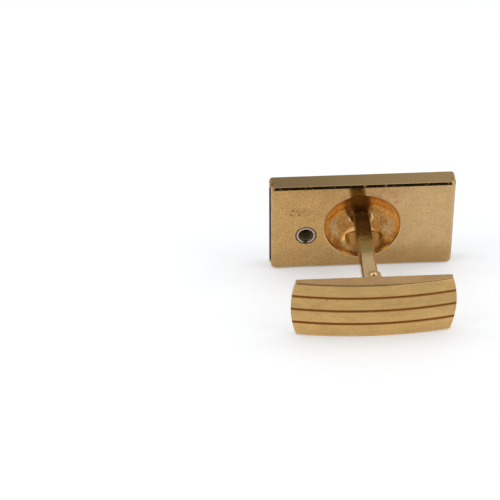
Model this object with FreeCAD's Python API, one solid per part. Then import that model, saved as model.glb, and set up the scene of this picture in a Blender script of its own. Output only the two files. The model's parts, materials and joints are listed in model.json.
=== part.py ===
import FreeCAD, Part
import math
import os

from FreeCAD import Vector

# Swivel-toggle cufflink, lying on its face plate's back edge and on its toggle.
# All sizes are millimetres. Every piece is first made in the cufflink's own axes: x along the face,
# y up the face, z along the post from the back of the face (z = 0) towards the toggle.
# The whole cufflink is then laid on the floor, with +Z up and the toggle towards -Y.

# Face plate
FACE_LENGTH = 22.0
FACE_HEIGHT = 12.2
FACE_CORNER_RADIUS = 0.55
BACK_BEVEL = 0.28
BEVEL_EDGE_RADIUS = 0.12
FRONT_EDGE_RADIUS = 0.15
END_EDGE_RADIUS = 0.5
BACK_THICKNESS = 1.12
RAIL_WIDTH = 0.6
SLAB_THICKNESS = 1.26
SLAB_OVERHANG = 0.17
CEMENT_THICKNESS = 0.08
CEMENT_MARGIN = 0.4

# Dish pressed into the back, with a flat land left between it and the long edges
DISH_LAND = 1.55
DISH_RIM_RADIUS = 0.1
DISH_WALL_DEPTH = 0.22
DISH_WALL_DRAFT = 0.08
DISH_DEPTH = 1.9
DISH_FLOOR_THICKNESS = 0.25

# Boss that the dish raises on the front of the tray, inside the slab
BOSS_RADIUS = 1.9
BOSS_SPREAD_SHARE = 0.67

# Tube setting and its stone, beside the dish and a little below the middle
COLLET_LAND = 0.95
COLLET_DROP = 1.06
COLLET_RADIUS = 1.2
COLLET_WALL = 0.27
COLLET_LIP = 0.15
STONE_RADIUS = 1.0
STONE_TABLE_RADIUS = 0.58
STONE_CROWN = 0.3
STONE_GIRDLE = 0.05
STONE_PAVILION = 0.83
STONE_CULET_RADIUS = 0.04
STONE_RECESS = 0.03
STONE_FACETS = 16

# Post
POST_WIDTH = 1.85
POST_DEPTH = 1.88
POST_EDGE_RADIUS = 0.28
TENON_RADIUS = 0.6
CUFF_GAP = 14.13

# Toggle
TOGGLE_LENGTH = 19.13
TOGGLE_END_BOW = 0.6
TOGGLE_HEIGHT = 7.63
TOGGLE_MIDDLE_THICKNESS = 1.55
TOGGLE_END_THICKNESS = 0.7
TOGGLE_EDGE_RADIUS = 0.15
SHELL_WALL = 0.36
SIDE_WALL = 0.55
GROOVE_COUNT = 3
GROOVE_DEPTH = 0.2
GROOVE_WIDTH = 0.3
BACK_PLATE_SETBACK = 1.965
BACK_PLATE_THICKNESS = 0.22
WINDOW_HALF_LENGTH = 2.2
WINDOW_MARGIN = 0.4

# Pivot
PIVOT_OFFSET = 0.6
EAR_WIDTH = 1.55
EAR_MARGIN = 0.45
EAR_CORNER_RADIUS = 0.5
EAR_FLARE = 0.25
PIN_RADIUS = 0.25
PIN_HEAD_RADIUS = 0.45
PIN_HEAD_HEIGHT = 0.25
BARREL_FLAT = 0.8
BARREL_DIP = 0.38

# Leaf spring
SPRING_THICKNESS = 0.16
SPRING_WIDTH = 4.2
SPRING_SETBACK = 2.0
SPRING_CREST_HALF = 0.6
SPRING_BEND_RADIUS = 0.5

# Clearances
SEAT_CLEARANCE = 0.02
PIN_SEAT_CLEARANCE = 0.01
RUNNING_CLEARANCE = 0.04
FOLD_CLEARANCE = 0.06
CAM_CLEARANCE = 0.05
END_PLAY = 0.06

# How far a cutting tool runs past what it cuts
OVERRUN = 1.0

# Sizes that follow from the ones above
FACE_THICKNESS = BACK_THICKNESS + CEMENT_THICKNESS + SLAB_THICKNESS
FRONT_Z = -FACE_THICKNESS
SLAB_BACK_Z = FRONT_Z + SLAB_THICKNESS
SLAB_LENGTH = FACE_LENGTH + 2 * SLAB_OVERHANG
SLAB_HEIGHT = FACE_HEIGHT - 2 * RAIL_WIDTH
DISH_RADIUS = FACE_HEIGHT / 2 - DISH_LAND
DISH_FLOOR_Z = -DISH_DEPTH
BOWL_EDGE_RADIUS = DISH_RADIUS - DISH_WALL_DRAFT
BOWL_DEPTH = DISH_DEPTH - DISH_WALL_DEPTH
BOWL_RADIUS = (BOWL_EDGE_RADIUS ** 2 + BOWL_DEPTH ** 2) / (2 * BOWL_DEPTH)
BOWL_CENTRE_Z = DISH_FLOOR_Z + BOWL_RADIUS
BOSS_Z = DISH_FLOOR_Z - DISH_FLOOR_THICKNESS
COLLET_X = -(DISH_RADIUS + DISH_RIM_RADIUS + COLLET_LAND + COLLET_RADIUS)
COLLET_Y = -COLLET_DROP
BOSS_SPREAD = BOSS_SPREAD_SHARE * (DISH_RADIUS - BOSS_RADIUS)
PIVOT_Z = CUFF_GAP - PIVOT_OFFSET
BARREL_CORNER_RADIUS = PIVOT_OFFSET + BARREL_DIP
FOLD_Z = PIVOT_Z + POST_WIDTH / 2 + FOLD_CLEARANCE
TOGGLE_HALF_HEIGHT = TOGGLE_HEIGHT / 2
TOGGLE_CORNER_X = TOGGLE_LENGTH / 2 - TOGGLE_END_BOW
TOGGLE_SAG = TOGGLE_MIDDLE_THICKNESS - TOGGLE_END_THICKNESS
TOGGLE_ARC_RADIUS = (TOGGLE_CORNER_X ** 2 + TOGGLE_SAG ** 2) / (2 * TOGGLE_SAG)
TOGGLE_CREST_Z = CUFF_GAP + TOGGLE_MIDDLE_THICKNESS
TOGGLE_ARC_Z = TOGGLE_CREST_Z - TOGGLE_ARC_RADIUS
BARREL_HALF_LENGTH = TOGGLE_HALF_HEIGHT - SIDE_WALL - END_PLAY
SPRING_CREST_Z = CUFF_GAP + BARREL_DIP + CAM_CLEARANCE
BACK_PLATE_Z = CUFF_GAP + BARREL_DIP + CAM_CLEARANCE
BACK_PLATE_HALF_LENGTH = TOGGLE_CORNER_X - BACK_PLATE_SETBACK
WINDOW_HALF_WIDTH = SPRING_WIDTH / 2 + WINDOW_MARGIN
SPRING_TIP_X = BACK_PLATE_HALF_LENGTH - SPRING_SETBACK

ALONG_X = Vector(1, 0, 0)
ALONG_Y = Vector(0, 1, 0)
ALONG_Z = Vector(0, 0, 1)
EPS = 1e-4


def centred_box(length, height, low_z, high_z):
    """A box centred on the post's axis in x and y."""
    corner = Vector(-length / 2, -height / 2, low_z)
    return Part.makeBox(length, height, high_z - low_z, corner)


def cylinder_z(radius, low_z, high_z, x=0.0, y=0.0):
    return Part.makeCylinder(radius, high_z - low_z, Vector(x, y, low_z), ALONG_Z)


def cylinder_y(radius, half_length, z):
    """A cylinder along y, across the middle of the cufflink."""
    return Part.makeCylinder(radius, 2 * half_length, Vector(0, -half_length, z), ALONG_Y)


def line(start, end):
    return Part.LineSegment(start, end).toShape()


def arc(start, middle, end):
    return Part.Arc(start, middle, end).toShape()


def fillet_edges(shape, radius, wanted):
    edges = [edge for edge in shape.Edges if wanted(edge)]
    return shape.makeFillet(radius, edges)


def lies_at_z(edge, z):
    box = edge.BoundBox
    return abs(box.ZMin - z) < EPS and abs(box.ZMax - z) < EPS


def runs_along_z(edge):
    box = edge.BoundBox
    return box.XLength < EPS and box.YLength < EPS


def revolve_profile(edges, axis_point, axis):
    face = Part.Face(Part.Wire(edges))
    return face.revolve(axis_point, axis, 360)


def radial(radius, z):
    """A point of a profile that is turned about the post's axis."""
    return Vector(radius, 0, z)


def closed_polygon(points):
    return Part.Wire([line(points[i - 1], points[i]) for i in range(len(points))])


# Face plate

def tray_back():
    """The tray's back without its dish: rounded corners and bevelled back edges."""
    block = centred_box(FACE_LENGTH, FACE_HEIGHT, -BACK_THICKNESS, 0.0)
    block = fillet_edges(block, FACE_CORNER_RADIUS, runs_along_z)
    block = block.makeChamfer(BACK_BEVEL, [edge for edge in block.Edges if lies_at_z(edge, 0.0)])
    return fillet_edges(block, BEVEL_EDGE_RADIUS, lambda edge: lies_at_z(edge, -BACK_BEVEL))


def end_rounded_block(height, back_z):
    """Block as long as the slab, with its two short front edges rounded."""
    block = centred_box(SLAB_LENGTH, height, FRONT_Z, back_z)

    def is_front_end(edge):
        return edge.BoundBox.XLength < EPS and lies_at_z(edge, FRONT_Z)

    return fillet_edges(block, END_EDGE_RADIUS, is_front_end)


def tray_rails():
    """The two long side walls in front of the back, as long as the slab between them."""
    block = end_rounded_block(FACE_HEIGHT, -BACK_THICKNESS)

    def is_long_front(edge):
        box = edge.BoundBox
        return box.YLength < EPS and lies_at_z(edge, FRONT_Z)

    block = fillet_edges(block, FRONT_EDGE_RADIUS, is_long_front)
    corners = centred_box(SLAB_LENGTH, FACE_HEIGHT, FRONT_Z - OVERRUN, OVERRUN)
    block = block.common(fillet_edges(corners, FACE_CORNER_RADIUS, runs_along_z))
    channel = centred_box(SLAB_LENGTH + 2 * OVERRUN, SLAB_HEIGHT, FRONT_Z - OVERRUN, OVERRUN)
    return block.cut(channel)


def bowl_z(radius):
    """Height of the dish's round floor at a distance from the post's axis."""
    return BOWL_CENTRE_Z - math.sqrt(BOWL_RADIUS ** 2 - radius ** 2)


def dish_cutter():
    """Rounded rim, low steep wall, then a ball-shaped bowl."""
    rim_centre = radial(DISH_RADIUS + DISH_RIM_RADIUS, -DISH_RIM_RADIUS)
    diagonal = DISH_RIM_RADIUS * math.sqrt(0.5)
    rim_outer = radial(rim_centre.x, 0.0)
    rim_middle = radial(rim_centre.x - diagonal, rim_centre.z + diagonal)
    rim_inner = radial(DISH_RADIUS, rim_centre.z)
    bowl_edge = radial(BOWL_EDGE_RADIUS, -DISH_WALL_DEPTH)
    bowl_middle = radial(BOWL_EDGE_RADIUS / 2, bowl_z(BOWL_EDGE_RADIUS / 2))
    floor_axis = radial(0.0, DISH_FLOOR_Z)
    top_outer = radial(rim_outer.x, OVERRUN)
    top_axis = radial(0.0, OVERRUN)
    profile = [line(top_axis, top_outer), line(top_outer, rim_outer),
               arc(rim_outer, rim_middle, rim_inner), line(rim_inner, bowl_edge),
               arc(bowl_edge, bowl_middle, floor_axis), line(floor_axis, top_axis)]
    return revolve_profile(profile, Vector(), ALONG_Z)


def collet_hole():
    radius = COLLET_RADIUS + SEAT_CLEARANCE
    return cylinder_z(radius, FRONT_Z - OVERRUN, OVERRUN, COLLET_X, COLLET_Y)


def dish_boss(drop):
    """Blunt cone that the dish raises on the tray's front, moved forward by drop."""
    height = -BACK_THICKNESS - BOSS_Z
    return Part.makeCone(BOSS_RADIUS, BOSS_RADIUS + BOSS_SPREAD, height, Vector(0, 0, BOSS_Z - drop), ALONG_Z)


def back_tray():
    tenon_hole = cylinder_z(TENON_RADIUS + PIN_SEAT_CLEARANCE, FRONT_Z, OVERRUN)
    tray = tray_back().fuse([tray_rails(), dish_boss(0.0)]).removeSplitter()
    return tray.cut([dish_cutter(), collet_hole(), tenon_hole])


def face_slab():
    """Slab between the rails, a little longer than the tray's back and hollowed for the dish's boss."""
    slab = end_rounded_block(SLAB_HEIGHT - 2 * SEAT_CLEARANCE, SLAB_BACK_Z)
    return slab.cut([collet_hole(), dish_boss(SEAT_CLEARANCE)])


def cement_bed():
    length = FACE_LENGTH - 2 * CEMENT_MARGIN
    height = SLAB_HEIGHT - 2 * CEMENT_MARGIN
    film = centred_box(length, height, SLAB_BACK_Z, -BACK_THICKNESS)
    boss_hole = cylinder_z(BOSS_RADIUS + BOSS_SPREAD + SEAT_CLEARANCE, FRONT_Z, OVERRUN)
    return film.cut([collet_hole(), boss_hole])


# Tube setting, modelled with u measured from the front face towards the back

def stone_levels():
    """Depths of the stone's table, girdle and culet behind the front face."""
    table = STONE_RECESS
    girdle = table + STONE_CROWN
    girdle_back = girdle + STONE_GIRDLE
    return table, girdle, girdle_back, girdle_back + STONE_PAVILION


def stone_seat():
    """Space for the stone with its clearance all round."""
    table, girdle, girdle_back, culet = stone_levels()
    room = 2 * SEAT_CLEARANCE
    points = [radial(0, FRONT_Z + table - room),
              radial(STONE_TABLE_RADIUS + room, FRONT_Z + table - room),
              radial(STONE_RADIUS + room, FRONT_Z + girdle),
              radial(STONE_RADIUS + room, FRONT_Z + girdle_back),
              radial(0, FRONT_Z + culet + room)]
    face = Part.Face(closed_polygon(points))
    return face.revolve(Vector(), ALONG_Z, 360)


def stone_collet():
    girdle_z = FRONT_Z + stone_levels()[1]
    tube = cylinder_z(COLLET_RADIUS, FRONT_Z, 0.0)
    bore = cylinder_z(COLLET_RADIUS - COLLET_WALL, girdle_z, OVERRUN)
    mouth = cylinder_z(STONE_RADIUS - COLLET_LIP, FRONT_Z - OVERRUN, girdle_z)
    collet = tube.cut([bore, mouth, stone_seat()])
    collet.translate(Vector(COLLET_X, COLLET_Y, 0))
    return collet


def facet_ring(radius, depth):
    points = []
    for i in range(STONE_FACETS):
        angle = 2 * math.pi * i / STONE_FACETS
        points.append(Vector(COLLET_X + radius * math.cos(angle),
                             COLLET_Y + radius * math.sin(angle), FRONT_Z + depth))
    return closed_polygon(points)


def collet_stone():
    """Round cut stone: flat table to the front, crown, girdle and pointed pavilion behind."""
    table, girdle, girdle_back, culet = stone_levels()
    rings = [facet_ring(STONE_TABLE_RADIUS, table), facet_ring(STONE_RADIUS, girdle),
             facet_ring(STONE_RADIUS, girdle_back), facet_ring(STONE_CULET_RADIUS, culet)]
    return Part.makeLoft(rings, True, True)


# Post

def post_bar(clearance, low_z, high_z):
    bar = centred_box(POST_WIDTH + 2 * clearance, POST_DEPTH + 2 * clearance, low_z, high_z)
    return fillet_edges(bar, POST_EDGE_RADIUS, runs_along_z)


def barrel_section(half_length, clearance):
    """Square barrel with rounded corners, along y about the pivot."""
    side = 2 * (BARREL_FLAT + clearance)
    box = Part.makeBox(side, 2 * half_length, side,
                       Vector(-side / 2, -half_length, PIVOT_Z - side / 2))
    return box.common(cylinder_y(BARREL_CORNER_RADIUS + clearance, half_length, PIVOT_Z))


def post():
    """Bar whose foot is rounded to the dish, with a round tenon, its far end shaped to the barrel that
    it is soldered to."""
    bar = post_bar(0.0, DISH_FLOOR_Z, PIVOT_Z)
    ball = Part.makeSphere(BOWL_RADIUS - SEAT_CLEARANCE, Vector(0, 0, BOWL_CENTRE_Z))
    below_dish = centred_box(2 * POST_WIDTH, 2 * POST_DEPTH, DISH_FLOOR_Z - OVERRUN, 0.0).cut(ball)
    bar = bar.cut([barrel_section(TOGGLE_HALF_HEIGHT, 0.0), below_dish])
    tenon = cylinder_z(TENON_RADIUS, BOSS_Z, bowl_z(POST_WIDTH))
    return bar.fuse(tenon).removeSplitter()


def cam_barrel():
    barrel = barrel_section(BARREL_HALF_LENGTH, 0.0)
    return barrel.cut(cylinder_y(PIN_RADIUS + RUNNING_CLEARANCE, TOGGLE_HALF_HEIGHT, PIVOT_Z))


# Toggle

def toggle_plan(inset, low_z, high_z):
    """Upright block with straight long sides and bowed ends, set in by inset all round."""
    x = TOGGLE_CORNER_X - inset
    y = TOGGLE_HALF_HEIGHT - inset
    bow = x + TOGGLE_END_BOW
    corners = [Vector(-x, -y, low_z), Vector(x, -y, low_z), Vector(x, y, low_z), Vector(-x, y, low_z)]
    outline = Part.Wire([line(corners[0], corners[1]),
                         arc(corners[1], Vector(bow, 0, low_z), corners[2]),
                         line(corners[2], corners[3]),
                         arc(corners[3], Vector(-bow, 0, low_z), corners[0])])
    return Part.Face(outline).extrude(Vector(0, 0, high_z - low_z))


def toggle_blank(inset, wall):
    """The toggle's outside, or its hollow: the plan shape under one long curved face."""
    block = toggle_plan(inset, CUFF_GAP, TOGGLE_CREST_Z + OVERRUN)
    return block.common(cylinder_y(TOGGLE_ARC_RADIUS - wall, TOGGLE_HEIGHT, TOGGLE_ARC_Z))


def shell_floor_z(x):
    """Height of the hollow's floor at a distance x from the middle."""
    radius = TOGGLE_ARC_RADIUS - SHELL_WALL
    return TOGGLE_ARC_Z + math.sqrt(radius ** 2 - x ** 2)


def groove_cutters():
    """V grooves along the toggle, turned about the axis of its curved face."""
    half_angle = math.degrees(math.asin((TOGGLE_LENGTH / 2 + OVERRUN) / TOGGLE_ARC_RADIUS))
    slope = GROOVE_WIDTH / 2 / GROOVE_DEPTH
    top = TOGGLE_CREST_Z + GROOVE_DEPTH
    half_width = slope * 2 * GROOVE_DEPTH
    axis_point = Vector(0, 0, TOGGLE_ARC_Z)
    cutters = []
    for i in range(1, GROOVE_COUNT + 1):
        y = -TOGGLE_HALF_HEIGHT + i * TOGGLE_HEIGHT / (GROOVE_COUNT + 1)
        face = Part.Face(closed_polygon([Vector(0, y - half_width, top), Vector(0, y + half_width, top),
                                         Vector(0, y, TOGGLE_CREST_Z - GROOVE_DEPTH)]))
        face.rotate(axis_point, ALONG_Y, -half_angle)
        cutters.append(face.revolve(axis_point, ALONG_Y, 2 * half_angle))
    return cutters


def ear(side):
    """Rounded tab that carries the pin, in the plane of one long side wall."""
    outer = EAR_WIDTH / 2
    height = PIVOT_OFFSET + EAR_MARGIN
    radius = EAR_CORNER_RADIUS
    flare = EAR_FLARE
    soft = 1 - math.sqrt(0.5)
    y = side * TOGGLE_HALF_HEIGHT

    def at(x, rise):
        return Vector(x, y, CUFF_GAP - rise)

    right = [line(at(outer + flare, -SHELL_WALL), at(outer + flare, 0)),
             arc(at(outer + flare, 0), at(outer + flare * soft, flare * soft), at(outer, flare)),
             line(at(outer, flare), at(outer, height - radius)),
             arc(at(outer, height - radius), at(outer - radius * soft, height - radius * soft),
                 at(outer - radius, height))]
    left = [edge.mirror(Vector(), ALONG_X) for edge in right]
    closing = [line(at(outer - radius, height), at(radius - outer, height)),
               line(at(outer + flare, -SHELL_WALL), at(-outer - flare, -SHELL_WALL))]
    outline = Part.Wire(Part.__sortEdges__(right + left + closing))
    return Part.Face(outline).extrude(Vector(0, -side * SIDE_WALL, 0))


def toggle_shell():
    """Hollow shell with grooves outside, ears for the pin and a notch in each end for the folded post."""
    blank = toggle_blank(0.0, 0.0)
    blank = fillet_edges(blank, TOGGLE_EDGE_RADIUS, lambda edge: not lies_at_z(edge, CUFF_GAP))
    post_notch = centred_box(TOGGLE_LENGTH + 2 * OVERRUN, POST_DEPTH + 2 * FOLD_CLEARANCE, PIVOT_Z, FOLD_Z)
    shell = blank.cut(groove_cutters() + [toggle_blank(SIDE_WALL, SHELL_WALL), post_notch])
    shell = shell.fuse([ear(1), ear(-1)]).removeSplitter()
    return shell.cut(cylinder_y(PIN_RADIUS + PIN_SEAT_CLEARANCE, TOGGLE_HEIGHT, PIVOT_Z))


def toggle_back_plate():
    """Plate let into the shell's open side, with a window for the spring's crest."""
    high_z = BACK_PLATE_Z + BACK_PLATE_THICKNESS
    height = TOGGLE_HEIGHT - 2 * (SIDE_WALL + SEAT_CLEARANCE)
    plate = centred_box(2 * BACK_PLATE_HALF_LENGTH, height, BACK_PLATE_Z, high_z)
    plate = plate.common(toggle_blank(SIDE_WALL, SHELL_WALL + SEAT_CLEARANCE))
    window = centred_box(2 * WINDOW_HALF_LENGTH, 2 * WINDOW_HALF_WIDTH,
                         BACK_PLATE_Z - OVERRUN, high_z + OVERRUN)
    window = fillet_edges(window, WINDOW_MARGIN, runs_along_z)
    return plate.cut(window)


def leaf_spring():
    """Flat strip with a raised crest under the barrel and two legs that rest on the shell's floor."""
    shoulder_z = BACK_PLATE_Z + BACK_PLATE_THICKNESS + SEAT_CLEARANCE
    tip_z = shell_floor_z(SPRING_TIP_X) - SPRING_THICKNESS - SEAT_CLEARANCE
    half = [(SPRING_CREST_HALF, SPRING_CREST_Z), (WINDOW_HALF_LENGTH, shoulder_z), (SPRING_TIP_X, tip_z)]
    upper = [(-x, z) for x, z in reversed(half)] + half
    lower = [(x, z + SPRING_THICKNESS) for x, z in reversed(upper)]
    y = -SPRING_WIDTH / 2
    outline = closed_polygon([Vector(x, y, z) for x, z in upper + lower])
    strip = Part.Face(outline).extrude(Vector(0, SPRING_WIDTH, 0))

    def is_bend(edge):
        box = edge.BoundBox
        across = box.XLength < EPS and box.ZLength < EPS
        return across and abs(box.XMax) < SPRING_TIP_X - EPS

    return fillet_edges(strip, SPRING_BEND_RADIUS, is_bend)


def pivot_pin():
    """Rivet through both ears, with a domed head at each end."""
    seat = TOGGLE_HALF_HEIGHT
    crown = seat + PIN_HEAD_HEIGHT
    dome = (PIN_HEAD_RADIUS ** 2 + PIN_HEAD_HEIGHT ** 2) / (2 * PIN_HEAD_HEIGHT)
    half_turn = math.asin(PIN_HEAD_RADIUS / dome) / 2
    dome_x = dome * math.sin(half_turn)
    dome_y = crown - dome * (1 - math.cos(half_turn))

    def at(x, y):
        return Vector(x, y, PIVOT_Z)

    upper = [arc(at(0, crown), at(dome_x, dome_y), at(PIN_HEAD_RADIUS, seat)),
             line(at(PIN_HEAD_RADIUS, seat), at(PIN_RADIUS, seat))]
    lower = [edge.mirror(Vector(), ALONG_Y) for edge in upper]
    closing = [line(at(PIN_RADIUS, seat), at(PIN_RADIUS, -seat)), line(at(0, crown), at(0, -crown))]
    outline = Part.Wire(Part.__sortEdges__(upper + lower + closing))
    return Part.Face(outline).revolve(at(0, 0), ALONG_Y, 360)


# Laying the cufflink on the floor

def lean_angle():
    """Tilt of the post below level: the floor touches the rounding below the face's bevel and the
    toggle's rounded outer edge."""
    bevel_centre = BACK_BEVEL + BEVEL_EDGE_RADIUS * math.tan(math.pi / 8)
    rise = (FACE_HEIGHT / 2 - BEVEL_EDGE_RADIUS) - (TOGGLE_HALF_HEIGHT - TOGGLE_EDGE_RADIUS)
    run = (TOGGLE_CREST_Z - TOGGLE_EDGE_RADIUS) + bevel_centre
    spread = BEVEL_EDGE_RADIUS - TOGGLE_EDGE_RADIUS
    return math.degrees(math.atan2(rise, run) + math.asin(spread / math.hypot(rise, run)))


def lay_down(shapes):
    """Turn every piece into the lying pose, with the box's bottom centre at the origin."""
    for shape in shapes.values():
        shape.rotate(Vector(), ALONG_X, 90 + lean_angle())
    box = Part.makeCompound(list(shapes.values())).optimalBoundingBox(False)
    for shape in shapes.values():
        shape.translate(Vector(-box.Center.x, -box.Center.y, -box.ZMin))


def main():
    makers = [back_tray, cement_bed, face_slab, stone_collet, collet_stone, post, cam_barrel,
              toggle_shell, toggle_back_plate, leaf_spring, pivot_pin]
    shapes = {maker.__name__: maker() for maker in makers}
    lay_down(shapes)
    os.makedirs("parts", exist_ok=True)
    for name, shape in shapes.items():
        shape.exportStep("parts/" + name + ".step")


main()
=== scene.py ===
import json
import math

import bpy
from mathutils import Matrix, Vector

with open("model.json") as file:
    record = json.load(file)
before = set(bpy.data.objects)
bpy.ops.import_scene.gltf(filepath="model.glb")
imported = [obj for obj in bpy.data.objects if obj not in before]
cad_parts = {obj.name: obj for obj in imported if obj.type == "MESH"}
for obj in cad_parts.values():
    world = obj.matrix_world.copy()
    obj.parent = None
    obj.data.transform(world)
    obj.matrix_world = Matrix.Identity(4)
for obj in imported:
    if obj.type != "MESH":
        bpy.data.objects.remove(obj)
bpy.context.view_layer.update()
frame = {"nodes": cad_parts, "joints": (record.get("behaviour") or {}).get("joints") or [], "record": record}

MM = 0.001

# The cufflink's own axes, read from the frame: x along the face, y up the face, z along the post
FACE_THICKNESS = 2.46 * MM
MOUNTS = {mount["name"]: mount for mount in frame["record"]["mounts"]}
SWIVEL = frame["joints"][0]
FACE_X = Vector((1, 0, 0))
FACE_Y = Vector(SWIVEL["axis"]).normalized()
POST_Z = -Vector(MOUNTS["front_face"]["axis"]).normalized()
BACK_CENTRE = Vector(MOUNTS["front_face"]["pos_m"]) + POST_Z * FACE_THICKNESS
LAY_ANGLE = math.atan2(FACE_Y.z, FACE_Y.y)

# Camera, in the photograph's 500 by 500 frame and the cufflink's own axes
FRAME_PIXELS = 500
FOCAL_PIXELS = 2000
SENSOR_WIDTH = 36.0
CLIP_START = 0.01
CLIP_END = 10
VIEW_AZIMUTH = math.radians(-2.271)
VIEW_ELEVATION = math.radians(38.816)
VIEW_ROLL = math.radians(-0.589)
BACK_CENTRE_IN_VIEW = Vector((13.537, 2.812, -241.027)) * MM

# Studio: lengths in metres, the sky's ranges as parts of a direction of length one
WHITE = (1, 1, 1, 1)
FLOOR_COLOUR = (0.875, 0.89, 0.905, 1)
FLOOR_HALF = 2.0
FLOOR_ROUGHNESS = 0.7
FLOOR_GLOSS = 0.1
FLOOR_GLOW = 0.26
SKY_LEVEL = 0.5
SKY_SLOPE = 0.06
OVERHEAD_LEVEL = 0.5
OVERHEAD_RISE = (0.8, 0.95)
DARK_FRONT = (-0.3, -0.55)
DARK_SIDES = (0.55, 0.3)
DARK_BOTTOM = (0.26, 0.36)
DARK_TOP = (0.92, 0.82)
DARK_SHARE = 0.96
LAMP_SIZE = 0.45
LAMP_DISTANCE = 0.6
LAMP_POWER = 1.0
LAMP_TOWARD = Vector((0.74, -0.12, 0.66))

# Sizes and places of the cufflink's forms, in millimetres
FACE_HALF_HEIGHT = 6.1
FACE_HALF_LENGTH = 11.0
DISH_RADIUS = 4.6
COLLET_CENTRE = (-6.8, -1.06)
COLLET_RADIUS = 1.2
POST_HALF_WIDTH = 0.925
GROOVE_STEP = 1.9075
CREST_RADIUS = 47.70
CREST_AXIS_Z = -32.02

# Marks on the plate and its edges, in millimetres; a range is where a mark is weakest and where it is full
# Painted light: the plate's gold runs lighter towards its right end over this range
PLATE_TONE = (-9.0, 9.0)
# Painted shade low on the plate: its height and length ranges
PAINTED_SHADE_HEIGHT = (-2.2, -4.2)
PAINTED_SHADE_LENGTH = (-8.0, 2.0)
GRIT_LENGTH = (5.0, -4.0)
NICKS_CENTRE = (-7.7, 2.4)
NICKS_REACH = (2.0, 1.0)
NICKS_FLATTENED = 2.2
SMUDGE_REACH = (7.5, 4.6)
SMUDGE_HEIGHT = (1.5, 4.5)
SEAM_RADIUS = COLLET_RADIUS + 0.03
SEAM_SPREAD = (0.11, 0.03)
# Where the painted shade of the long walls starts
WALL_START = (FACE_HALF_HEIGHT - 0.03, FACE_HALF_HEIGHT - 0.005)
BEVEL_START = (FACE_HALF_HEIGHT - 0.32, FACE_HALF_HEIGHT - 0.26)
BEVEL_DEPTH = (-0.36, -0.28)
CHIP_SIZE = (0.5, 0.12, 0.12)

# Marks in the dish, with ranges as on the plate; a drift is how far the noise moves a mark's edge
DISH_EDGE = (DISH_RADIUS + 0.05, DISH_RADIUS - 0.05)
RIM_RADIUS = DISH_RADIUS + 0.05
RIM_SPREAD = (0.10, 0.03)
# Painted highlight on the lower rim and painted shade on the upper rim: their height ranges
RIM_LOWER = (0.5, -1.5)
RIM_UPPER = (0.0, 2.0)
BAND_DRIFT = 2.0
# Tarnished orange near the rim and in the upper dish, also painting inter-reflection: its ranges
TARNISH_AND_REFLECTION_BAND = (3.2, 4.1)
UPPER_DRIFT = 5.0
TARNISH_AND_REFLECTION_UPPER = (0.2, 2.2)
# Height range of the painted shade low in the rim band
PAINTED_SHADE_LOWER = (-0.3, -2.0)
RESIDUE_DRIFT = 3.0
RESIDUE_INNER = (2.6, 3.3)
RESIDUE_OUTER = (4.15, 3.6)
RESIDUE_CENTRE_Y = -1.1
RESIDUE_SPREAD = (2.2, 0.9)
RING_STEP = 0.42
RINGS_OUTER = (2.75, 2.5)
RINGS_INNER = (1.5, 1.7)
RINGS_HEIGHT = (-1.0, 0.0)
# Painted highlight: a bright ring round the post's foot
FOOT_RING = 1.4
FOOT_RING_SPREAD = (0.17, 0.05)
FOOT_RING_HEIGHT = (-0.9, -0.1)
LIGHTER_HEIGHT = (-0.5, 1.5)
LIGHTER_REACH = (2.2, 3.2)
POLISHED_REACH = (3.2, 2.4)

# Pale oval in the dish, a painted reflection of the toggle: an oval with half sizes along x and y, its edge
# as a part of them
REFLECTION_CENTRE_Y = -2.75
REFLECTION_HALF_SIZES = (2.35, 1.5)
REFLECTION_DRIFT = 0.3
REFLECTION_EDGE = (1.1, 0.9)

# Marks on the post, the toggle and the tube, with ranges as on the plate
POST_TONE = (3.5, 9.0)
# Painted shade: darker along the post's left edge
POST_EDGE = (-POST_HALF_WIDTH + 0.18, -POST_HALF_WIDTH + 0.08)
POST_EDGE_LENGTH = (2.0, 6.0)
POST_DRIFT = 1.8
# Painted reflection: an olive band on the post above its foot
POST_REFLECTION_END = (7.2, 5.2)
# Painted shade: the dark foot of the post
POST_SHADE_END = (4.2, 2.6)
TOGGLE_STREAK_SHARE = 0.10
# Painted light: the toggle's gold lighter towards its lower edge
TOGGLE_PAINTED_LIGHT = (0.8, -2.6)
# Painted light: the toggle's side walls lighter than its face
TOGGLE_SIDE = (3.55, 3.75)
GROOVE_SPAN = (3.0, 2.8)
GROOVE_SPREAD = (0.26, 0.11)
GROOVE_DEPTH = (-0.32, -0.27)
# Painted shade: a thin olive line along the toggle's upper outer edge
EDGE_START = (3.60, 3.67)
EDGE_DEPTH = (-0.22, -0.16)
EDGE_LENGTH = (7.0, 0.0)
TUBE_FRONT = (-2.2, -2.0)
# Depth range of the dirt and painted shade inside the tube
TUBE_BACK = (-0.05, -0.35)
TUBE_RIM = (COLLET_RADIUS - 0.10, COLLET_RADIUS - 0.05)
CLOT_CENTRE = (-6.85, -2.1)
CLOT_DRIFT = 0.3
CLOT_REACH = (0.50, 0.36)

# Noises: scale per millimetre, detail and roughness
CLOUD_NOISE = (0.45, 4.0, 0.6)
GRAIN_NOISE = (4.2, 5.0, 0.75)
SPECK_NOISE = (2.1, 2.0, 0.5)
STREAK_NOISE = (1.0, 2.0, 0.4)
GRIT_NOISE = (6.5, 3.0, 0.7)
PATCH_NOISE = (0.9, 5.0, 0.65)
FINE_NOISE = (3.2, 4.0, 0.6)
DAPPLE_NOISE = (2.4, 4.0, 0.7)
CHIP_NOISE = (1.0, 3.0, 0.6)
STAIN_NOISE = (1.6, 3.0, 0.6)
STONE_NOISE = (0.7, 4.0, 0.6)
WEAR_NOISE = (6.0, 3.0, 0.6)
WHITE_NOISE = (2.5, 3.0, 0.6)
TUBE_NOISE = (3.0, 3.0, 0.6)
CEMENT_NOISE = (2.0, 4.0, 0.6)

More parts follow.
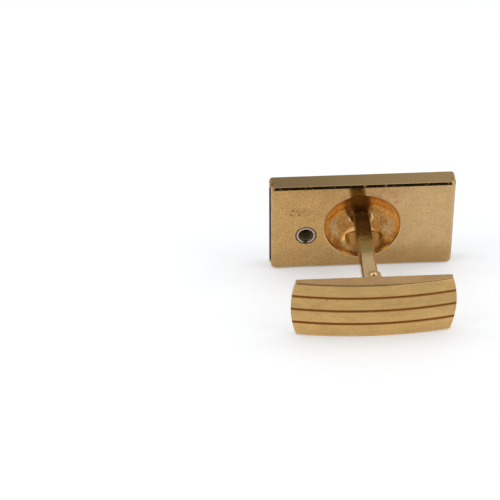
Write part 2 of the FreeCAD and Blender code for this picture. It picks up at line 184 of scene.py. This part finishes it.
# Ranges of a noise's value
NOISE_MIDDLE = 0.5
MIDDLE_RANGE = (0.35, 0.65)
WIDE_RANGE = (0.3, 0.7)
SPECK_RANGE = (0.70, 0.76)
DARK_RANGE = (0.4, 0.6)
FINE_RANGE = (0.35, 0.6)
PIT_RANGE = (0.64, 0.70)
SMUDGE_RANGE = (0.45, 0.65)
CHIP_RANGE = (0.58, 0.68)
STAIN_RANGE = (0.4, 0.65)
STONE_RANGE = (0.4, 0.75)
WEAR_RANGE = (0.4, 0.8)
WHITE_RANGE = (0.4, 0.7)
TUBE_RANGE = (0.62, 0.72)

# Streaks: angle on the face in radians, length and width in millimetres, range of the noise's value
SCRATCHES = ((0.25, 2.4, 0.05, 0.66, 0.74),
             (-0.5, 1.6, 0.05, 0.68, 0.76),
             (1.2, 1.3, 0.05, 0.68, 0.76),
             (2.3, 1.0, 0.05, 0.68, 0.76))
NICK_STREAKS = (0.5, 0.45, 0.13, 0.52, 0.6)
TOGGLE_STREAKS = (0.02, 3.0, 0.25, 0.3, 0.7)
BRUSHED_STREAKS = (0.1, 1.5, 0.04, 0.4, 0.7)

# Roughness that fine wear and brushing add, and heights of the fine relief in millimetres
WEAR_DULLING = 0.1
BRUSH_DULLING = 0.12
GOLD_RELIEF = 0.0015
STONE_RELIEF = 0.001
WHITE_RELIEF = 0.002
CEMENT_RELIEF = 0.02

# Colours, linear
GOLD = (0.54, 0.33, 0.126, 1)
# Lighter gold for the plate's right end: painted light
GOLD_PAINTED_LIGHTER = (0.58, 0.38, 0.18, 1)
# Darker, browner gold low on the plate: painted shade
GOLD_LOW_PAINTED_SHADE = (0.47, 0.29, 0.115, 1)
GOLD_TOGGLE = (0.53, 0.34, 0.13, 1)
# Lighter gold for the toggle's side walls: painted light
GOLD_SIDE_PAINTED_LIGHT = (0.80, 0.49, 0.22, 1)
# Darker gold of the long walls: painted shade
GOLD_WALL_PAINTED_SHADE = (0.49, 0.335, 0.155, 1)
GOLD_POST = (0.80, 0.62, 0.29, 1)
POST_RUBBED = (0.92, 0.63, 0.32, 1)
# Olive band on the post: painted reflection of the plate's gold
POST_PAINTED_REFLECTION = (0.42, 0.265, 0.05, 1)
# Dark foot of the post: painted shade
POST_FOOT_PAINTED_SHADE = (0.06, 0.036, 0.010, 1)
# Tarnished brown that mottles the painted shade at the post's foot
POST_TARNISH_AND_SHADE = (0.17, 0.085, 0.026, 1)
# Darker, orange gold over the dish's hollow: painted shade of inter-reflection
GOLD_DISH_PAINTED_SHADE = (0.35, 0.145, 0.028, 1)
# Bright gold: the rivet's own colour, and painted highlights round the post's foot and on the lower rim
GOLD_BRIGHT_AND_PAINTED_HIGHLIGHT = (0.70, 0.48, 0.22, 1)
# Pale gold of the oval low in the dish: painted reflection of the toggle
GOLD_PAINTED_REFLECTION = (0.84, 0.51, 0.20, 1)
# Tarnished orange, also standing in for painted inter-reflection of the gold
TARNISH_AND_PAINTED_REFLECTION = (0.64, 0.28, 0.034, 1)
# Dark brown painted shade: low in the dish's rim band, on the upper rim and along the post's left edge
PAINTED_SHADE_BROWN = (0.26, 0.085, 0.012, 1)
SMUDGE = (0.32, 0.165, 0.085, 1)
BROWN = (0.43, 0.165, 0.022, 1)
# Olive painted shade along the toggle's upper edge
OLIVE_PAINTED_SHADE = (0.30, 0.19, 0.07, 1)
NICK = (0.20, 0.09, 0.03, 1)
RESIDUE = (0.57, 0.415, 0.215, 1)
PIT = (0.13, 0.105, 0.07, 1)
GRIME = (0.075, 0.048, 0.025, 1)
# Dull brown inside the tube: dirt and painted shade of the bore
TUBE_DIRT_AND_SHADE = (0.40, 0.33, 0.18, 1)
BLACK_STONE = (0.030, 0.022, 0.020, 1)
DARK_STONE = (0.022, 0.016, 0.010, 1)
STONE_BACK = (0.15, 0.12, 0.06, 1)
TUBE_METAL = (0.50, 0.43, 0.35, 1)
WHITE_METAL = (0.84, 0.73, 0.55, 1)
STEEL = (0.62, 0.60, 0.57, 1)
CEMENT = (0.20, 0.18, 0.15, 1)


# Camera

def along(local):
    """A direction in the cufflink's own axes, turned into the frame's."""
    return FACE_X * local.x + FACE_Y * local.y + POST_Z * local.z


def camera_axes():
    """Right, up and back of the camera in the frame's axes."""
    forward = Vector((-math.sin(VIEW_AZIMUTH) * math.cos(VIEW_ELEVATION),
                      -math.sin(VIEW_ELEVATION),
                      -math.cos(VIEW_AZIMUTH) * math.cos(VIEW_ELEVATION)))
    level_right = forward.cross(Vector((0, 1, 0))).normalized()
    level_up = level_right.cross(forward)
    right = level_right * math.cos(VIEW_ROLL) + level_up * math.sin(VIEW_ROLL)
    up = level_up * math.cos(VIEW_ROLL) - level_right * math.sin(VIEW_ROLL)
    return along(right), along(up), along(-forward)


def add_camera():
    right, up, back = camera_axes()
    data = bpy.data.cameras.new("camera")
    data.sensor_width = SENSOR_WIDTH
    data.lens = SENSOR_WIDTH * FOCAL_PIXELS / FRAME_PIXELS
    data.clip_start = CLIP_START
    data.clip_end = CLIP_END
    camera = bpy.data.objects.new("camera", data)
    bpy.context.scene.collection.objects.link(camera)
    offset = BACK_CENTRE_IN_VIEW
    place = BACK_CENTRE - right * offset.x - up * offset.y - back * offset.z
    turn = Matrix((right, up, back)).transposed().to_4x4()
    camera.matrix_world = Matrix.Translation(place) @ turn
    bpy.context.scene.camera = camera


# Node trees

class Tree:
    """Short calls for building a node tree."""

    def __init__(self, tree):
        self.nodes = tree.nodes
        self.links = tree.links

    def put(self, socket, value):
        if isinstance(value, bpy.types.NodeSocket):
            self.links.new(value, socket)
        else:
            socket.default_value = value

    def add(self, kind, inputs=(), **settings):
        node = self.nodes.new(kind)
        for name, value in settings.items():
            setattr(node, name, value)
        for key, value in dict(inputs).items():
            self.put(node.inputs[key], value)
        return node

    def math(self, operation, first, second=0.0, third=0.0):
        node = self.add("ShaderNodeMath", {0: first, 1: second, 2: third}, operation=operation)
        return node.outputs[0]

    def size(self, value):
        return self.math("ABSOLUTE", value)

    def most(self, first, second):
        return self.math("MAXIMUM", first, second)

    def less(self, value, amount):
        return self.math("SUBTRACT", value, amount)

    def raised(self, value, mask, amount):
        """The value plus an amount where the mask is."""
        return self.math("MULTIPLY_ADD", mask, amount, value)

    def rest(self, mask, share=1.0):
        """What is left of one when a share of the mask is taken away."""
        return self.raised(1.0, mask, -share)

    def both(self, *factors):
        """Product of several masks or shares."""
        product = factors[0]
        for factor in factors[1:]:
            product = self.math("MULTIPLY", product, factor)
        return product

    def ramp(self, value, low, high, start=0.0, end=1.0):
        """Smooth step of value from start at low to end at high."""
        node = self.add("ShaderNodeMapRange", {"Value": value, "From Min": low, "From Max": high,
                                               "To Min": start, "To Max": end},
                        interpolation_type="SMOOTHSTEP")
        return node.outputs["Result"]

    def scaled(self, colour, factor):
        if isinstance(colour, tuple):
            colour = colour[:3]
        node = self.add("ShaderNodeVectorMath", {0: colour, "Scale": factor}, operation="SCALE")
        return node.outputs[0]

    def mix(self, factor, first, second):
        node = self.add("ShaderNodeMix", {0: factor, 6: first, 7: second}, data_type="RGBA")
        return node.outputs[2]

    def split(self, place):
        return self.add("ShaderNodeSeparateXYZ", {0: place}).outputs

    def undo(self, place, location, rotation, scale):
        """Take a place out of a moved, turned and scaled space."""
        node = self.add("ShaderNodeMapping", {"Vector": place, "Location": location, "Rotation": rotation,
                                              "Scale": scale}, vector_type="TEXTURE")
        return node.outputs[0]

    def place(self):
        """Millimetres in the cufflink's own axes."""
        found = self.add("ShaderNodeTexCoord").outputs["Object"]
        return self.undo(found, BACK_CENTRE, (LAY_ANGLE, 0, 0), (MM, MM, MM))

    def reach(self, across, up, centre=(0.0, 0.0)):
        """Distance from a centre in the plane of two axes."""
        across = self.less(across, centre[0])
        up = self.less(up, centre[1])
        squares = self.math("ADD", self.both(across, across), self.both(up, up))
        return self.math("SQRT", squares)

    def noise(self, place, scale, detail, roughness):
        node = self.add("ShaderNodeTexNoise", {"Vector": place, "Scale": scale, "Detail": detail,
                                               "Roughness": roughness})
        return node.outputs[0]

    def streaks(self, place, angle, length, width, low, high):
        """Thin lines along one direction of the face, from a stretched noise."""
        stretched = self.undo(place, (0, 0, 0), (0, 0, angle), (length, width, width))
        return self.ramp(self.noise(stretched, *STREAK_NOISE), low, high)


# Studio

def add_floor():
    """Plain pale floor that glows a little where it is seen, directly or in a reflection."""
    mesh = bpy.data.meshes.new("floor")
    corners = [(-FLOOR_HALF, -FLOOR_HALF, 0), (FLOOR_HALF, -FLOOR_HALF, 0),
               (FLOOR_HALF, FLOOR_HALF, 0), (-FLOOR_HALF, FLOOR_HALF, 0)]
    mesh.from_pydata(corners, [], [(0, 1, 2, 3)])
    floor = bpy.data.objects.new("floor", mesh)
    bpy.context.scene.collection.objects.link(floor)
    material = bpy.data.materials.new("floor")
    material.use_nodes = True
    shader = material.node_tree.nodes["Principled BSDF"]
    shader.inputs["Base Color"].default_value = FLOOR_COLOUR
    shader.inputs["Roughness"].default_value = FLOOR_ROUGHNESS
    shader.inputs["Specular IOR Level"].default_value = FLOOR_GLOSS
    shader.inputs["Emission Color"].default_value = WHITE
    tree = Tree(material.node_tree)
    path = tree.add("ShaderNodeLightPath").outputs
    seen = tree.most(path["Is Camera Ray"], tree.most(path["Is Glossy Ray"], path["Is Transmission Ray"]))
    tree.put(shader.inputs["Emission Strength"], tree.both(seen, FLOOR_GLOW))
    mesh.materials.append(material)


def add_world():
    """Studio light, a little brighter to the right and more so overhead, dark on the camera's side."""
    world = bpy.data.worlds.new("studio")
    bpy.context.scene.world = world
    world.use_nodes = True
    tree = Tree(world.node_tree)
    x, y, z = tree.split(tree.add("ShaderNodeTexCoord").outputs["Generated"])
    dark = tree.both(tree.ramp(y, *DARK_FRONT), tree.ramp(tree.size(x), *DARK_SIDES),
                     tree.ramp(z, *DARK_BOTTOM), tree.ramp(z, *DARK_TOP))
    level = tree.raised(SKY_LEVEL, x, SKY_SLOPE)
    level = tree.math("ADD", level, tree.ramp(z, *OVERHEAD_RISE, end=OVERHEAD_LEVEL))
    shader = world.node_tree.nodes["Background"]
    shader.inputs["Color"].default_value = WHITE
    tree.put(shader.inputs["Strength"], tree.both(level, tree.rest(dark, DARK_SHARE)))


def add_lamps():
    """A large soft lamp on each side, a little towards the camera."""
    for side in (-1, 1):
        data = bpy.data.lights.new("side lamp", "AREA")
        data.size = LAMP_SIZE
        data.energy = LAMP_POWER
        lamp = bpy.data.objects.new("side lamp", data)
        toward = Vector((side * LAMP_TOWARD.x, LAMP_TOWARD.y, LAMP_TOWARD.z)).normalized()
        lamp.location = toward * LAMP_DISTANCE
        lamp.rotation_euler = toward.to_track_quat("Z", "Y").to_euler()
        bpy.context.scene.collection.objects.link(lamp)


# Materials

def toned(colour, factor):
    """A constant colour made lighter or darker."""
    return tuple(factor * value for value in colour[:3]) + (1,)


class Surface:
    """A material that is built up mark by mark, in the cufflink's own axes."""

    def __init__(self, name, metallic=1.0):
        self.material = bpy.data.materials.new(name)
        self.material.use_nodes = True
        self.tree = Tree(self.material.node_tree)
        self.place = self.tree.place()
        self.x, self.y, self.z = self.tree.split(self.place)
        self.colour = None
        self.roughness = None
        self.relief = None
        self.metallic = metallic

    def stain(self, mask, colour, share=1.0):
        """Mix in a share of another colour where the mask is."""
        self.colour = self.tree.mix(self.tree.both(mask, share), self.colour, colour)

    def tone(self, mask, by):
        """Change the colour by a part of itself where the mask is."""
        self.colour = self.tree.scaled(self.colour, self.tree.raised(1.0, mask, by))

    def dull(self, mask, by):
        """Make the surface rougher where the mask is."""
        self.roughness = self.tree.raised(self.roughness, mask, by)

    def wear_gold(self, gold, contrast=1.0):
        """Handled gold: clouded, grained, speckled and scratched."""
        tree = self.tree
        cloud = tree.noise(self.place, *CLOUD_NOISE)
        grain = tree.noise(self.place, *GRAIN_NOISE)
        speck = tree.ramp(tree.noise(self.place, *SPECK_NOISE), *SPECK_RANGE)
        lines = tree.streaks(self.place, *SCRATCHES[0])
        for scratch in SCRATCHES[1:]:
            lines = tree.most(lines, tree.streaks(self.place, *scratch))
        darkest = 1.0 - 0.16 * contrast
        lightest = 1.0 + 0.10 * contrast
        self.colour = tree.scaled(gold, tree.ramp(cloud, *MIDDLE_RANGE, start=0.94, end=1.04))
        self.colour = tree.scaled(self.colour, tree.ramp(grain, *MIDDLE_RANGE, start=darkest, end=lightest))
        self.stain(lines, SMUDGE, share=0.3)
        self.stain(speck, NICK, share=0.6)
        self.roughness = tree.ramp(grain, *MIDDLE_RANGE, start=0.09, end=0.035)
        self.dull(lines, by=0.1)
        self.dull(speck, by=0.2)
        self.relief = tree.less(grain, lines)

    def finish(self, depth):
        """Fill the shader; depth is the height of the relief in millimetres."""
        tree = self.tree
        bump = tree.add("ShaderNodeBump", {"Strength": 1.0, "Distance": depth * MM, "Height": self.relief})
        shader = tree.nodes["Principled BSDF"]
        tree.put(shader.inputs["Base Color"], self.colour)
        tree.put(shader.inputs["Metallic"], self.metallic)
        tree.put(shader.inputs["Roughness"], self.roughness)
        tree.put(shader.inputs["Normal"], bump.outputs[0])
        return self.material


def mark_dish(surface, reach, inside, patches):
    """Tarnish that also paints orange inter-reflection, painted shade over the hollow and low in the rim
    band, pale residue, turning rings, painted highlights round the post's foot and on the lower rim, painted
    shade on the upper rim, and a pale oval of painted reflection.
    """
    tree = surface.tree
    x, y = surface.x, surface.y
    fine = tree.noise(surface.place, *FINE_NOISE)
    dapple = tree.less(tree.noise(surface.place, *DAPPLE_NOISE), NOISE_MIDDLE)
    drift = tree.less(patches, NOISE_MIDDLE)
    drifting = tree.raised(reach, drift, BAND_DRIFT)

    band = tree.ramp(drifting, *TARNISH_AND_REFLECTION_BAND)
    upper = tree.ramp(tree.raised(y, drift, UPPER_DRIFT), *TARNISH_AND_REFLECTION_UPPER, end=0.85)
    tarnish_and_reflection = tree.both(inside, tree.most(band, upper))
    # Painted shade: dark brown low in the band near the rim
    dark = tree.both(inside, band, tree.ramp(y, *PAINTED_SHADE_LOWER),
                     tree.ramp(patches, *DARK_RANGE, start=0.4))
    pale = tree.both(inside,
                     tree.ramp(tree.raised(tree.size(x), drift, RESIDUE_DRIFT), *RESIDUE_INNER),
                     tree.ramp(drifting, *RESIDUE_OUTER),
                     tree.ramp(tree.size(tree.less(y, RESIDUE_CENTRE_Y)), *RESIDUE_SPREAD),
                     tree.ramp(fine, *FINE_RANGE, start=0.25, end=0.9))
    pits = tree.both(pale, tree.ramp(fine, *PIT_RANGE))
    # Painted reflection of the toggle: a pale oval below the post, also kept smooth
    painted_reflection = tree.reach(tree.math("DIVIDE", x, REFLECTION_HALF_SIZES[0]),
                       tree.math("DIVIDE", tree.less(y, REFLECTION_CENTRE_Y), REFLECTION_HALF_SIZES[1]))
    painted_reflection = tree.both(inside, tree.ramp(tree.raised(painted_reflection, dapple, REFLECTION_DRIFT), *REFLECTION_EDGE))
    polished = tree.most(tree.both(inside, tree.ramp(reach, *POLISHED_REACH)), painted_reflection)
    turned = tree.math("SINE", tree.both(reach, 2 * math.pi / RING_STEP))
    rings = tree.both(tree.ramp(reach, *RINGS_OUTER), tree.ramp(reach, *RINGS_INNER),
                      tree.ramp(y, *RINGS_HEIGHT))
    # Painted highlight round the post's foot
    foot = tree.both(tree.ramp(tree.size(tree.less(reach, FOOT_RING)), *FOOT_RING_SPREAD),
                     tree.ramp(y, *FOOT_RING_HEIGHT))
    lighter = tree.both(inside, tree.ramp(y, *LIGHTER_HEIGHT), tree.ramp(reach, *LIGHTER_REACH))
    rim = tree.ramp(tree.size(tree.less(reach, RIM_RADIUS)), *RIM_SPREAD)

    # Painted shade: the hollow darker and more orange
    surface.stain(inside, GOLD_DISH_PAINTED_SHADE, share=0.85)
    surface.stain(tree.both(rings, tree.ramp(turned, -1.0, 1.0)), RESIDUE, share=0.25)
    # Painted highlight round the post's foot
    surface.stain(foot, GOLD_BRIGHT_AND_PAINTED_HIGHLIGHT)
    # Tarnished orange, also painting the inter-reflection
    surface.stain(tarnish_and_reflection, TARNISH_AND_PAINTED_REFLECTION, share=0.85)
    surface.tone(tree.both(inside, dapple), by=2.0)
    surface.tone(lighter, by=0.45)
    # Painted shade low in the rim band
    surface.stain(dark, PAINTED_SHADE_BROWN, share=0.9)
    surface.stain(pale, RESIDUE, share=0.85)
    surface.stain(pits, PIT)
    # Painted reflection of the toggle
    surface.stain(painted_reflection, GOLD_PAINTED_REFLECTION, share=0.9)
    # Painted highlight on the lower rim and painted shade on the upper rim
    surface.stain(tree.both(rim, tree.ramp(y, *RIM_LOWER)), GOLD_BRIGHT_AND_PAINTED_HIGHLIGHT, share=0.7)
    surface.stain(tree.both(rim, tree.ramp(y, *RIM_UPPER)), PAINTED_SHADE_BROWN, share=0.8)
    surface.dull(pale, by=0.25)
    surface.dull(tarnish_and_reflection, by=0.14)
    surface.dull(polished, by=-0.02)
    surface.relief = tree.both(surface.relief, tree.rest(polished, share=0.8))
    surface.relief = tree.raised(surface.relief, tree.both(rings, turned), amount=0.5)
    surface.metallic = tree.rest(tarnish_and_reflection, share=0.2)


def mark_plate(surface, reach, inside, patches):
    """Nicks, a smudge above the dish and grime at the tube's seam."""
    tree = surface.tree
    x, y = surface.x, surface.y
    nicks = tree.reach(x, tree.both(y, NICKS_FLATTENED),
                       (NICKS_CENTRE[0], NICKS_FLATTENED * NICKS_CENTRE[1]))
    nicks = tree.both(tree.ramp(nicks, *NICKS_REACH), tree.streaks(surface.place, *NICK_STREAKS))
    smudge = tree.both(tree.ramp(reach, *SMUDGE_REACH), tree.ramp(y, *SMUDGE_HEIGHT),
                       tree.ramp(patches, *SMUDGE_RANGE), tree.rest(inside))
    seam = tree.less(tree.reach(x, y, COLLET_CENTRE), SEAM_RADIUS)
    surface.stain(nicks, NICK, share=0.8)
    surface.stain(smudge, SMUDGE, share=0.75)
    surface.stain(tree.ramp(tree.size(seam), *SEAM_SPREAD), GRIME, share=0.9)


def mark_edges(surface):
    """Painted shade on the long walls, lighter towards the right end, and chips in the polish of the upper
    bevel.
    """
    tree = surface.tree
    x, y, z = surface.x, surface.y, surface.z
    # Painted shade on the long walls, lighter towards the right end as painted light
    painted_light_slope = tree.ramp(x, -FACE_HALF_LENGTH, FACE_HALF_LENGTH, start=0.8, end=1.18)
    surface.stain(tree.ramp(tree.size(y), *WALL_START), tree.scaled(GOLD_WALL_PAINTED_SHADE, painted_light_slope))
    bevel = tree.both(tree.ramp(y, *BEVEL_START), tree.ramp(z, *BEVEL_DEPTH))
    stretched = tree.undo(surface.place, (0, 0, 0), (0, 0, 0), CHIP_SIZE)
    chipped = tree.ramp(tree.noise(stretched, *CHIP_NOISE), *CHIP_RANGE)
    surface.dull(tree.both(bevel, chipped), by=0.45)


def tray_material():
    """Gold of the back tray, with painted light towards its right end, painted shade low on the plate, and
    gritty towards the tube.
    """
    surface = Surface("tray gold")
    tree = surface.tree
    x, y = surface.x, surface.y
    # Painted light: lighter gold towards the plate's right end
    gold = tree.mix(tree.ramp(x, *PLATE_TONE), GOLD, GOLD_PAINTED_LIGHTER)
    # Painted shade: darker, browner gold low on the plate
    painted_shade_low = tree.both(tree.ramp(y, *PAINTED_SHADE_HEIGHT), tree.ramp(x, *PAINTED_SHADE_LENGTH, start=0.5))
    surface.wear_gold(tree.mix(painted_shade_low, gold, GOLD_LOW_PAINTED_SHADE))
    grit = tree.less(tree.noise(surface.place, *GRIT_NOISE), NOISE_MIDDLE)
    surface.tone(tree.both(grit, tree.ramp(x, *GRIT_LENGTH, start=0.1)), by=1.6)
    patches = tree.noise(surface.place, *PATCH_NOISE)
    reach = tree.reach(x, y)
    inside = tree.ramp(reach, *DISH_EDGE)
    mark_dish(surface, reach, inside, patches)
    mark_plate(surface, reach, inside, patches)
    mark_edges(surface)
    return surface.finish(GOLD_RELIEF)


def rivet_material():
    """Worn bright gold, satin all over."""
    surface = Surface("rivet gold")
    surface.wear_gold(GOLD_BRIGHT_AND_PAINTED_HIGHLIGHT)
    surface.dull(1.0, by=0.24)
    return surface.finish(GOLD_RELIEF)


def post_material():
    """Gold of the post: painted shade at its foot, mottled with tarnished brown, a band of painted olive
    reflection above it, rubbed pale towards the toggle.
    """
    surface = Surface("post gold")
    tree = surface.tree
    x, z = surface.x, surface.z
    surface.wear_gold(tree.mix(tree.ramp(z, *POST_TONE), GOLD_POST, POST_RUBBED))
    # Painted shade along the left edge
    edge = tree.both(tree.ramp(x, *POST_EDGE), tree.ramp(z, *POST_EDGE_LENGTH))
    patches = tree.noise(surface.place, *STAIN_NOISE)
    height = tree.raised(z, tree.less(patches, NOISE_MIDDLE), POST_DRIFT)
    # Painted reflection: an olive band above the foot, also rougher
    dull = tree.ramp(height, *POST_REFLECTION_END)
    # Painted shade at the post's foot, mottled with tarnished brown
    foot = tree.ramp(height, *POST_SHADE_END)
    tarnished_shade = tree.mix(tree.ramp(patches, *STAIN_RANGE), POST_FOOT_PAINTED_SHADE, POST_TARNISH_AND_SHADE)
    surface.stain(edge, PAINTED_SHADE_BROWN, share=0.75)
    surface.stain(dull, POST_PAINTED_REFLECTION, share=0.75)
    surface.stain(foot, tarnished_shade, share=0.85)
    surface.dull(1.0, by=0.05)
    surface.dull(dull, by=0.12)
    surface.metallic = tree.raised(tree.rest(dull, share=0.4), foot, amount=0.15)
    return surface.finish(GOLD_RELIEF)


def toggle_material():
    """Gold of the toggle, faintly streaked along its length, with painted light towards its lower edge and
    on its side walls, brown grooves and a painted olive shade along its upper edge.
    """
    surface = Surface("toggle gold")
    tree = surface.tree
    x, y, z = surface.x, surface.y, surface.z
    streaked = tree.scaled(GOLD_TOGGLE, tree.streaks(surface.place, *TOGGLE_STREAKS))
    gold = tree.mix(TOGGLE_STREAK_SHARE, GOLD_TOGGLE, streaked)
    # Painted light: lighter towards the lower edge
    gold = tree.scaled(gold, tree.ramp(y, *TOGGLE_PAINTED_LIGHT, start=1.0, end=1.28))
    # Painted light on the side walls
    gold = tree.mix(tree.ramp(tree.size(y), *TOGGLE_SIDE), gold, GOLD_SIDE_PAINTED_LIGHT)
    surface.wear_gold(gold, contrast=0.5)
    crest = tree.less(tree.reach(x, z, (0.0, CREST_AXIS_Z)), CREST_RADIUS)
    groove = tree.both(tree.ramp(tree.size(y), *GROOVE_SPAN), tree.ramp(crest, *GROOVE_DEPTH),
                       tree.ramp(tree.math("PINGPONG", y, GROOVE_STEP / 2), *GROOVE_SPREAD))
    # Painted shade along the upper outer edge
    edge = tree.both(tree.ramp(y, *EDGE_START), tree.ramp(crest, *EDGE_DEPTH),
                     tree.ramp(x, *EDGE_LENGTH, start=0.3, end=0.9))
    surface.stain(edge, OLIVE_PAINTED_SHADE)
    surface.dull(edge, by=0.25)
    surface.stain(groove, BROWN)
    surface.dull(groove, by=0.4)
    surface.metallic = tree.rest(groove, share=0.7)
    return surface.finish(GOLD_RELIEF)


def stone_material(name, colour, roughness, back):
    """Polished stone with faint clouds and fine wear; back is its colour behind the tube's front."""
    surface = Surface(name, metallic=0.0)
    tree = surface.tree
    cloud = tree.noise(surface.place, *STONE_NOISE)
    wear = tree.noise(surface.place, *WEAR_NOISE)
    surface.colour = tree.mix(tree.ramp(cloud, *STONE_RANGE), colour, toned(colour, factor=1.4))
    surface.stain(tree.ramp(surface.z, *TUBE_FRONT), back)
    surface.roughness = tree.ramp(wear, *WEAR_RANGE, start=roughness, end=roughness + WEAR_DULLING)
    surface.relief = wear
    return surface.finish(STONE_RELIEF)


def white_material(name, colour, roughness):
    """White metal or steel, brushed along the face."""
    surface = Surface(name)
    tree = surface.tree
    cloud = tree.noise(surface.place, *WHITE_NOISE)
    brushed = tree.streaks(surface.place, *BRUSHED_STREAKS)
    surface.colour = tree.mix(tree.ramp(cloud, *WHITE_RANGE), colour, toned(colour, factor=0.9))
    surface.colour = tree.scaled(surface.colour, tree.ramp(brushed, 0.0, 1.0, start=1.0, end=0.9))
    surface.roughness = tree.ramp(brushed, 0.0, 1.0, start=roughness, end=roughness + BRUSH_DULLING)
    surface.relief = brushed
    return surface.finish(WHITE_RELIEF)


def tube_material():
    """White metal of the tube, with grime at its seam, most at the bottom, and dull dirt and painted shade
    inside.
    """
    surface = Surface("tube metal")
    tree = surface.tree
    x, y, z = surface.x, surface.y, surface.z
    cloud = tree.noise(surface.place, *TUBE_NOISE)
    rim = tree.ramp(tree.reach(x, y, COLLET_CENTRE), *TUBE_RIM)
    clot = tree.ramp(tree.raised(tree.reach(x, y, CLOT_CENTRE), cloud, CLOT_DRIFT), *CLOT_REACH)
    dirty = tree.most(tree.most(rim, clot), tree.ramp(cloud, *TUBE_RANGE, end=0.7))
    # Dirt and painted shade inside the tube
    deep = tree.both(tree.ramp(z, *TUBE_BACK), tree.ramp(z, *TUBE_FRONT))
    surface.colour = tree.mix(dirty, TUBE_METAL, GRIME)
    surface.stain(deep, TUBE_DIRT_AND_SHADE)
    surface.roughness = tree.ramp(cloud, *WIDE_RANGE, start=0.2, end=0.4)
    surface.relief = cloud
    surface.metallic = tree.rest(deep)
    return surface.finish(WHITE_RELIEF)


def cement_material():
    surface = Surface("cement", metallic=0.0)
    tree = surface.tree
    lump = tree.noise(surface.place, *CEMENT_NOISE)
    surface.colour = tree.mix(lump, CEMENT, toned(CEMENT, factor=0.6))
    surface.roughness = tree.ramp(lump, *WIDE_RANGE, start=0.6, end=0.9)
    surface.relief = lump
    return surface.finish(CEMENT_RELIEF)


def dress():
    """Give each piece of the frame its material."""
    post = post_material()
    looks = {"back_tray": tray_material(),
             "post": post,
             "cam_barrel": post,
             "toggle_shell": toggle_material(),
             "pivot_pin": rivet_material(),
             "toggle_back_plate": white_material("plate metal", WHITE_METAL, roughness=0.4),
             "leaf_spring": white_material("spring steel", STEEL, roughness=0.25),
             "stone_collet": tube_material(),
             "cement_bed": cement_material(),
             "face_slab": stone_material("black stone", BLACK_STONE, roughness=0.06, back=BLACK_STONE),
             "collet_stone": stone_material("dark stone", DARK_STONE, roughness=0.05, back=STONE_BACK)}
    for name, node in frame["nodes"].items():
        node.data.materials.clear()
        node.data.materials.append(looks[name])


add_camera()
add_floor()
add_world()
add_lamps()
dress()
bpy.context.scene.view_settings.view_transform = "Standard"
